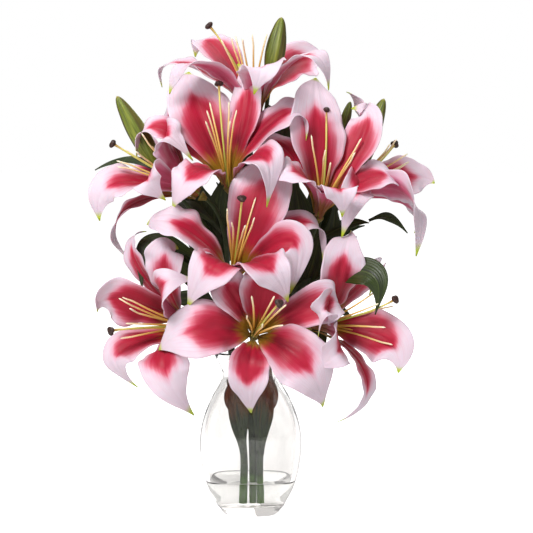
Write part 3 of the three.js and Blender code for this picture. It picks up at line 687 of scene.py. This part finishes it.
def lathe(piece, rings, sides=128):
    """A body from rings of (half width, half depth, height), axis to axis, with flattish faces."""
    count = len(rings) - 1

    def place(u, v):
        half_width, half_depth, height = rings[round(v * count)]
        across, back = math.cos(math.tau * u), math.sin(math.tau * u)
        return Vector((half_width * math.copysign(abs(across) ** (2 / VASE_CORNERS), across),
                       half_depth * math.copysign(abs(back) ** (2 / VASE_CORNERS), back), height))

    piece.sheet(sides, count, place, wrapped=True)


def inner(height, inset):
    half_width, half_depth = ring_at(height)
    return half_width - inset, half_depth - inset, height


def make_vase():
    piece = Piece()
    width, depth = ring_at(0)
    rings = [(0, 0, 0.6), (width * 0.6, depth * 0.6, 0.6), (width - 6, depth - 6, 0.4),
             (width - 4, depth - 4, 0), (width - 0.8, depth - 0.8, 0), (width - 0.2, depth - 0.2, 0.4)]
    rings += [(*ring_at(height), height) for height in [2 + 2.3 * step for step in range(70)]]
    lip = ring_at(RIM - 1.2)
    for turn in range(9):
        angle = math.pi * turn / 8
        inset = VASE_WALL * 0.42 * (1 - math.cos(angle))
        rings.append((lip[0] - inset, lip[1] - inset, RIM - 1.3 + 1.3 * math.sin(angle)))
    rings += [inner(height, VASE_WALL) for height in [RIM - 4 - 2.5 * step for step in range(59)]]
    for turn in range(1, 8):
        angle = math.pi / 2 * turn / 7
        half_width, half_depth, _ = inner(VASE_FLOOR + 5, VASE_WALL)
        inset = 6 * (1 - math.cos(angle))
        rings.append((half_width - inset, half_depth - inset, VASE_FLOOR + 5 - 5 * math.sin(angle)))
    rings += [(rings[-1][0] * share, rings[-1][1] * share, VASE_FLOOR) for share in (0.7, 0.35, 0)]
    lathe(piece, rings)
    return piece.finish("glass_vase", [glass_paint()], "vase")


def make_water():
    """The water reaches just into the glass, so that no air shows between them."""
    piece = Piece()
    bite = 0.15
    rings = [(0, 0, VASE_FLOOR - bite)]
    half_width, half_depth, _ = inner(VASE_FLOOR + 5, VASE_WALL)
    for turn in range(8):
        angle = math.pi / 2 * (1 - turn / 7)
        inset = 6 * (1 - math.cos(angle)) - bite
        rings.append((half_width - inset, half_depth - inset, VASE_FLOOR + 5 - (5 + bite) * math.sin(angle)))
    rings += [inner(height, VASE_WALL - bite) for height in (18, 21, 24, 27, 30, 33)]
    rings += [inner(WATER_LEVEL + 0.3, VASE_WALL - bite), inner(WATER_LEVEL, VASE_WALL + 0.4),
              (16, 12, WATER_LEVEL), (0, 0, WATER_LEVEL)]
    lathe(piece, rings)
    return piece.finish("water_in_vase", [water_paint()], "water")


make_vase()
make_water()

# ---------------------------------------------------------------- stems
places = {name: frame_of(from_rim(bloom["at"]), heading=bloom["heading"], tilt=bloom["tilt"])
          for name, bloom in BLOOMS.items()}
for name, bud in BUDS.items():
    axis = Vector(bud["tip"]) - Vector(bud["from"])
    places[f"{name}_bud"] = frame_of(from_rim(bud["from"]), axis=axis.normalized())

lines = {}
for name, stem in STEMS.items():
    route = [(x, y, level) for (x, y), level in zip(stem["inVase"], STEM_LEVELS)]
    route += [tuple(from_rim(point)) for point in stem["above"]]
    lines[name] = lambda share, route=route: through(route, share)
    carried = stem["blooms"] + [f"{bud}_bud" for bud in stem["buds"]]
    for group, fork in zip(carried, stem["forks"]):
        share = next(step / 400 for step in range(401) if through(route, step / 400)[0].z >= RIM + fork - 0.01
                     or step == 400)
        start, onward = through(route, share)
        under = [places[group] @ Vector((0, 0, -reach)) for reach in (STALK_REACH, STALK_END / 2)]
        points = [start, start + onward * FORK_REACH, *under]
        lines[group] = lambda share, points=points: bezier(points, share)


def make_stem(name):
    piece = Piece()
    stem = STEMS[name]
    shake = random.Random(len(name))
    phase = shake.uniform(0, math.tau)

    def radius(v):
        joint = 0.5 * math.exp(-((v - 0.33) / 0.012) ** 2)
        thicker_below = 0.5 * (1 - smoothstep(0.3, 0.5, v))
        to_end = min(v, 1 - v) / 0.006
        rounded = math.sqrt(max(0.0, 1 - (1 - to_end) ** 2)) if to_end < 1 else 1.0
        return (STEM_RADIUS + 0.25 * math.sin(9 * v + phase) + joint + thicker_below) * rounded

    piece.tube(lines[name], radius, sides=20, along=180)
    for group in stem["blooms"] + [f"{bud}_bud" for bud in stem["buds"]]:
        broad = BLOOM_SEAT if group in BLOOMS else BUD_SEAT
        piece.tube(lines[group], lambda v: STALK_RADIUS * (1 + 0.25 * (1 - v)), sides=14, along=48)
        toward = places[group]

        def cone(v, toward=toward):
            return toward @ Vector((0, 0, -STALK_END - 1 + v * (STALK_END + 1))), \
                toward.to_3x3() @ Vector((0, 0, 1))

        def flare(v, broad=broad):
            return STALK_RADIUS + (broad - STALK_RADIUS) * smoothstep(0.0, 0.9, v) if 0 < v < 1 else 0.0

        piece.tube(cone, flare, sides=18, along=14, material=1)
    return piece.finish(f"{name}_stem_and_stalks", [stem_material, receptacle_material],
                        f"{name}_stem")


for name in STEMS:
    make_stem(name)


# ---------------------------------------------------------------- blooms
def petal_line(petal, foot_radius, throat_radius):
    (turn, out, up), tip = petal["crest"], petal["tip"]
    foot = around(turn, foot_radius - 0.15, GAP + 1.5)
    throat = around(turn, throat_radius, THROAT_LENGTH)
    crest, end = around(turn, out, up), around(*tip)
    handle = (crest - 0.064 * foot - 0.288 * throat - 0.216 * end) / 0.432
    return [foot, throat, handle, end]


def blade_half(width, v, fullness=LEAF_FULLNESS):
    swelling = math.sin(math.pi * min(v, 1.0) ** 1.35) ** fullness
    return 0.5 * (FOOT_WIDTH * (1 - v) + width * swelling + TIP_WIDTH * v)


def petal_surface(petal, foot_radius, throat_radius, placing, seed, ruffle):
    line = petal_line(petal, foot_radius, throat_radius)
    turned = around(petal["crest"][0] + 90, 1, 0)
    shake = random.Random(seed)
    waves = [(shake.uniform(2.6, 4.4), shake.uniform(0, math.tau), shake.uniform(5.5, 8.5),
              shake.uniform(0, math.tau)) for _ in range(2)]
    bend = shake.uniform(-1.5, 1.5)

    def place(u, v):
        x = 2 * u - 1
        v = min(max(v, 0.0), 1.0)
        middle, forward = bezier(line, v)
        sideways = (turned - forward * turned.dot(forward)).normalized()
        sideways = Quaternion(forward, math.radians(petal["roll"] * v)) @ sideways
        outward = sideways.cross(forward)
        half = blade_half(petal["width"] * PETAL_FULLER, v, PETAL_FULLNESS)
        slow, slow_at, quick, quick_at = waves[x > 0]
        wavy = math.sin(math.pi * v) * abs(x) ** 2.4
        half *= 1 + 0.05 * math.sin(quick * 2.3 * v + slow_at) * wavy
        edge = ruffle * wavy * (math.sin(math.tau * slow * v + slow_at)
                                + 0.45 * math.sin(math.tau * quick * v + quick_at))
        cup = 0.3 * min(1, 4 * v) * (1 - 0.8 * v) * half * (0.35 * abs(x) + 0.65 * x * x)
        groove = 1.1 * math.exp(-(x / 0.07) ** 2) * min(1, 5 * v) * (1 - v)
        flank = 0.6 * math.exp(-((abs(x) - 0.22) / 0.13) ** 2) * math.sin(math.pi * v)
        rough = 0.5 * noise.noise(Vector((x * 3, v * 6, seed)))
        point = (middle + sideways * (x * half + bend * math.sin(math.pi * v))
                 + outward * (groove - cup - flank - edge - rough * math.sin(math.pi * v)))
        return placing @ point

    return place


def make_petals(name, kind, petals, foot_radius, throat_radius, ruffle, seed):
    piece = Piece()
    for index, petal in enumerate(petals):
        surface = petal_surface(petal, foot_radius, throat_radius, places[name], seed + index, ruffle)
        piece.sheet(24, 60, surface, seed=(seed + index) * 0.37)
    return piece.finish(f"{name}_{kind}", [petal_back, petal_face], f"{name}_bloom_{kind}",
                        thickness=SHEET_THICKNESS, outward=False)


def make_stamens(name, bloom, seed):
    piece = Piece()
    shake = random.Random(seed)
    for index, tip in enumerate(bloom["filaments"]):
        turn = bloom["stigma"][0] + 30 + 60 * index
        points = [around(turn, FILAMENT_RING, FOOT_HEIGHT / 2),
                  around(turn, FILAMENT_RING, FOOT_HEIGHT + FILAMENT_RISE),
                  around(tip[0], tip[1] * 0.45, tip[2] * 0.6), around(*tip)]
        hook = shake.uniform(-2.5, 3.0)

        def line(v, points=points, hook=hook):
            middle, forward = bezier(points, v)
            outward = (middle - Vector((0, 0, middle.z))).normalized()
            curl = smoothstep(0.86, 1.0, v)
            middle = middle + outward * hook * curl
            bent = places[name].to_3x3() @ (forward + outward * hook * curl * 0.3)
            return places[name] @ middle, bent.normalized()

        def radius(v):
            return max(0.0, 1.15 - 0.35 * v) * (math.sqrt(max(0.0, 1 - ((v - 0.97) / 0.03) ** 2))
                                               if v > 0.97 else 1.0) if v > 0 else 0.0

        piece.tube(line, radius, sides=10, along=44, seed=index * 0.7 + seed)
    return piece.finish(f"{name}_stamens", [filament_material], f"{name}_bloom_stamens")


def make_pistil(name, bloom, seed):
    piece = Piece()
    turn, out, up = bloom["stigma"]
    end = around(turn, out, up)
    points = [Vector((0, 0, GAP)), Vector((0, 0, 14)), around(turn, out * 0.25, up * 0.65), end]

    def line(v):
        middle, forward = bezier(points, v)
        return places[name] @ middle, places[name].to_3x3() @ forward

    def radius(v):
        if v <= 0 or v >= 1:
            return 0.0
        return 0.95 + 0.55 * math.exp(-(v / 0.16) ** 2) + 0.5 * smoothstep(0.9, 1.0, v)

    piece.tube(line, radius, sides=12, along=56, seed=seed)
    _, forward = bezier(points, 1)
    facing = Vector((0, 0, 1)).rotation_difference(forward).to_matrix().to_4x4()
    head = bmesh.ops.create_icosphere(piece.bm, subdivisions=4, radius=1)["verts"]
    for vert in head:
        direction = vert.co.normalized()
        angle = math.atan2(direction.y, direction.x)
        lobes = 0.68 + 0.32 * abs(math.cos(1.5 * angle)) * (1 - abs(direction.z) ** 3)
        pebbles = 0.05 * noise.noise(direction * 6 + Vector((seed, 0, 0)))
        reach = 4.8 * (lobes + pebbles)
        local = Vector((direction.x * reach, direction.y * reach, direction.z * 3.0 * (1 + pebbles)))
        dip = 0.9 * (1 - smoothstep(0.0, 0.7, math.hypot(direction.x, direction.y))) if direction.z > 0 else 0
        local.z -= dip
        vert.co = (places[name] @ (Matrix.Translation(end) @ facing @ local)) * MM
    for face in {face for vert in head for face in vert.link_faces}:
        face.smooth = True
        face.material_index = 1
    return piece.finish(f"{name}_pistil", [pistil_material, stigma_material],
                        f"{name}_bloom_pistil")


for number, (name, bloom) in enumerate(BLOOMS.items()):
    make_pistil(name, bloom, number + 1)
    make_stamens(name, bloom, number + 1)
    make_petals(name, "inner_petals", bloom["inner"], INNER_FOOT, INNER_THROAT, 2.2, 10 * number + 1)
    make_petals(name, "outer_petals", bloom["outer"], OUTER_FOOT, OUTER_THROAT, 1.3, 10 * number + 5)


# ---------------------------------------------------------------- buds
BUD_OUTLINE = [[0.3, 0], [0.75, 0.14], [1, 0.36], [0.95, 0.6], [0.62, 0.84], [0.3, 0.96], [0, 1]]


def make_bud(name, bud, seed):
    piece = Piece()
    length = (Vector(bud["tip"]) - Vector(bud["from"])).length
    placing = places[f"{name}_bud"]

    def place(u, v):
        share, _ = through([(a, b, 0) for a, b in BUD_OUTLINE], v)
        angle = math.tau * u
        valley = abs(math.sin(3 * angle / 2))
        ribs = 1 - 0.13 * (1 - valley) ** 2 + 0.02 * math.sin(18 * angle)
        twist = angle + 0.5 * v
        reach = max(0.0, share.x) * bud["radius"] * ribs * (0 if v <= 0 else 1)
        return placing @ Vector((reach * math.cos(twist), reach * math.sin(twist),
                                 GAP + length * min(max(share.y, 0), 1)))

    piece.sheet(60, 56, place, seed=seed, wrapped=True)
    return piece.finish(f"{name}_bud_of_petals", [bud_material], f"{name}_bud")


for number, (name, bud) in enumerate(BUDS.items()):
    make_bud(name, bud, number + 0.5)


# ---------------------------------------------------------------- leaves
def leaf_surface(points, width, face, seed):
    shake = random.Random(seed)
    phase, count = shake.uniform(0, math.tau), shake.uniform(1.5, 2.6)
    facing = Vector(face)

    def place(u, v):
        x = 2 * u - 1
        middle, forward = bezier(points, v)
        sideways = forward.cross(facing)
        sideways.normalize()
        outward = sideways.cross(forward)
        half = blade_half(width, v)
        fold = 0.2 * min(1, 4 * v) * (1 - 0.8 * v) * half * (0.5 * abs(x) + 0.5 * x * x)
        groove = -0.5 * math.exp(-(x / 0.08) ** 2) * math.sin(math.pi * v)
        wave = 0.9 * math.sin(math.pi * v) * abs(x) ** 2 * math.sin(math.tau * count * v + phase + x)
        return middle + sideways * x * half + outward * (fold + groove + wave)

    return place


# Small dark leaves that show between the blooms. They fill dark gaps there, so they stand partly for leaves
# and partly for painted shade between the blooms: the points of each one's middle line, its width.
LEAVES_AND_SHADE_BETWEEN_BLOOMS = [
    [(20, 14, 330), (46, 5, 394), (37, 0, 414), 10], [(40, 14, 240), (61, -5, 292), (74, -10, 307), 13],
    [(118, 0, 296), (138, -6, 306), (156, -8, 284), 7], [(34, 8, 196), (50, 0, 226), (60, -5, 240), 14],
    [(-22, 6, 190), (-66, 0, 246), (-78, -5, 262), 14], [(-24, 4, 250), (-60, 10, 290), (-66, 12, 330), 20],
    [(40, 10, 235), (20, 22, 300), (22, 20, 345), 24], [(40, 8, 245), (90, 12, 262), (118, 2, 250), 14],
    [(-22, 4, 215), (-70, 14, 262), (-96, 10, 290), 16], [(4, 16, 290), (-14, 26, 350), (2, 24, 392), 20],
    [(42, 10, 240), (72, 24, 300), (96, 20, 332), 18], [(4, 14, 260), (-8, 30, 300), (-2, 26, 330), 24],
    [(30, 8, 205), (80, 14, 216), (104, 4, 196), 16], [(-20, 4, 195), (-58, 16, 222), (-96, 8, 214), 16],
    [(3, 12, 210), (26, 40, 262), (38, 62, 250), 20], [(-22, 4, 230), (-40, 50, 262), (-60, 66, 236), 20],
    [(40, 8, 240), (74, 44, 270), (96, 58, 240), 20], [(2, 10, 200), (-4, 52, 226), (6, 72, 196), 18],
    [(-20, 8, 255), (-36, 8, 302), (-24, 4, 346), 26], [(-24, 6, 248), (-12, 10, 300), (-34, 6, 334), 22],
    [(42, 10, 245), (54, 8, 296), (42, 4, 342), 26], [(44, 10, 236), (86, 6, 262), (84, 2, 320), 24],
    [(36, 8, 196), (62, 0, 240), (70, -4, 290), 22], [(24, 4, 172), (54, -8, 198), (76, -20, 174), 16],
    [(46, 10, 262), (68, 12, 300), (60, 8, 336), 20], [(-22, 6, 232), (-50, 6, 268), (-72, 2, 300), 18],
    [(70, 10, 266), (88, 4, 286), (114, 0, 291), 8], [(66, 8, 258), (84, 2, 276), (106, -2, 280), 8],
    [(52, 8, 240), (70, 0, 258), (84, -6, 250), 16], [(-26, 6, 250), (-70, 6, 286), (-60, 0, 312), 18],
]

# Dry sheaths round the stems in the vase's neck, written like the small leaves.
SHEATHS = [
    [(-9, -4, 58), (-14, -7, 96), (-24, -5, 138), 11], [(-5, -6, 62), (-9, -9, 104), (-16, -6, 148), 12],
    [(12, -6, 60), (15, -9, 100), (24, -6, 138), 11], [(7, -6, 64), (9, -10, 108), (14, -6, 158), 15],
    [(2, -2, 60), (3, -4, 104), (2, -2, 160), 16], [(14, -2, 88), (18, -4, 118), (20, -2, 158), 12],
]


def make_blades(name, blades, materials):
    piece = Piece()
    for number, (root, middle, tip, width) in enumerate(blades):
        points = [root, Vector(root).lerp(middle, 0.6), middle, tip]
        piece.sheet(12, 36, leaf_surface(points, width, (0, -1, 0.3), number + 40), seed=number * 0.43)
    return piece.finish(name, materials, None, thickness=SHEET_THICKNESS, outward=False)


def make_leaf(name, leaf, seed):
    piece = Piece()
    root, _ = lines[leaf["on"]](leaf["share"])
    points = [root, *(from_rim(point) for point in leaf["route"])]
    piece.sheet(16, 48, leaf_surface(points, leaf["width"], leaf["face"], seed), seed=seed * 0.61)
    both = [dry_leaf, dry_leaf] if name.startswith("neck") else [leaf_face, leaf_back]
    return piece.finish(f"{name}_leaf_blade", both, f"{name}_leaf",
                        thickness=SHEET_THICKNESS, outward=False)


for number, (name, leaf) in enumerate(LEAVES.items()):
    make_leaf(name, leaf, number + 3)
# The leaves between the blooms are partly painted shade: dark sheets that fill the gaps.
make_blades("leaves_and_shade_between_blooms", LEAVES_AND_SHADE_BETWEEN_BLOOMS, [leaf_face, leaf_back])
make_blades("neck_sheaths", SHEATHS, [sheath, dry_leaf])


# ---------------------------------------------------------------- room, lights and camera
def floor_paint():
    """Pale and matt, with a glow that only the camera and clear glass see, so that it stays white."""
    paint = Paint("white floor", Roughness=0.9, Specular_IOR_Level=0.0)
    x, y, z = paint.place()
    cloud = paint.grain(*[paint.math("MULTIPLY", axis, 3.0) for axis in (x, y, z)])
    white = paint.ramp(cloud, (0.3, (0.82, 0.82, 0.82, 1)), (0.7, (0.85, 0.85, 0.85, 1)))
    paint.color(white)
    glow = paint.ramp(cloud, (0.3, (0.97, 0.97, 0.97, 1)), (0.7, (1, 1, 1, 1)))
    paint.put(paint.shader.inputs["Emission Color"], glow)
    seen = paint.node("ShaderNodeLightPath").outputs
    clear = paint.math("MAXIMUM", seen["Is Camera Ray"], seen["Is Transmission Ray"])
    paint.put(paint.shader.inputs["Emission Strength"], paint.math("MULTIPLY", clear, 0.93))
    return paint.material


def make_floor():
    piece = Piece()
    piece.sheet(8, 8, lambda u, v: Vector(((u - 0.5) * 16000, (v - 0.5) * 16000, 0)))
    mesh = bpy.data.meshes.new("floor")
    piece.bm.to_mesh(mesh)
    piece.bm.free()
    mesh.materials.append(floor_paint())
    floor = bpy.data.objects.new("floor", mesh)
    bpy.context.scene.collection.objects.link(floor)


def add_light(name, place, target, size, power, color=(1, 1, 1)):
    data = bpy.data.lights.new(name, "AREA")
    data.energy = power
    data.size = size
    data.color = color
    lamp = bpy.data.objects.new(name, data)
    lamp.location = place
    lamp.rotation_euler = (Vector(target) - Vector(place)).to_track_quat("-Z", "Y").to_euler()
    bpy.context.scene.collection.objects.link(lamp)


make_floor()
add_light("key light", (-0.7, -1.3, 1.4), (0, 0, 0.25), 0.7, 36)
add_light("fill light", (1.3, -1.3, 0.7), (0, 0, 0.25), 1.2, 5)
add_light("top light", (0.1, 0.3, 1.8), (0, 0, 0.2), 0.8, 10)
add_light("back light", (0.5, 1.6, 0.8), (0, 0, 0.3), 1.2, 12)

world = bpy.data.worlds.new("white studio")
world.use_nodes = True
backdrop = world.node_tree.nodes["Background"]
backdrop.inputs[0].default_value = (1, 1, 1, 1)
seen = world.node_tree.nodes.new("ShaderNodeLightPath")
clear = world.node_tree.nodes.new("ShaderNodeMath")
clear.operation = "MAXIMUM"
world.node_tree.links.new(seen.outputs["Is Camera Ray"], clear.inputs[0])
world.node_tree.links.new(seen.outputs["Is Transmission Ray"], clear.inputs[1])
strength = world.node_tree.nodes.new("ShaderNodeMapRange")
strength.inputs["To Min"].default_value = 0.2
strength.inputs["To Max"].default_value = 1.0
world.node_tree.links.new(clear.outputs[0], strength.inputs[0])
world.node_tree.links.new(strength.outputs[0], backdrop.inputs[1])
bpy.context.scene.world = world
bpy.context.scene.view_settings.view_transform = "Standard"

camera_data = bpy.data.cameras.new("camera")
camera_data.sensor_width = 36
camera_data.lens = 101.3
camera = bpy.data.objects.new("camera", camera_data)
camera.location = (0.016, -1.4918, 0.4068)
camera.rotation_euler = (Vector((0.016, 0, 0.25)) - camera.location).to_track_quat("-Z", "Y").to_euler()
bpy.context.scene.collection.objects.link(camera)
bpy.context.scene.camera = camera
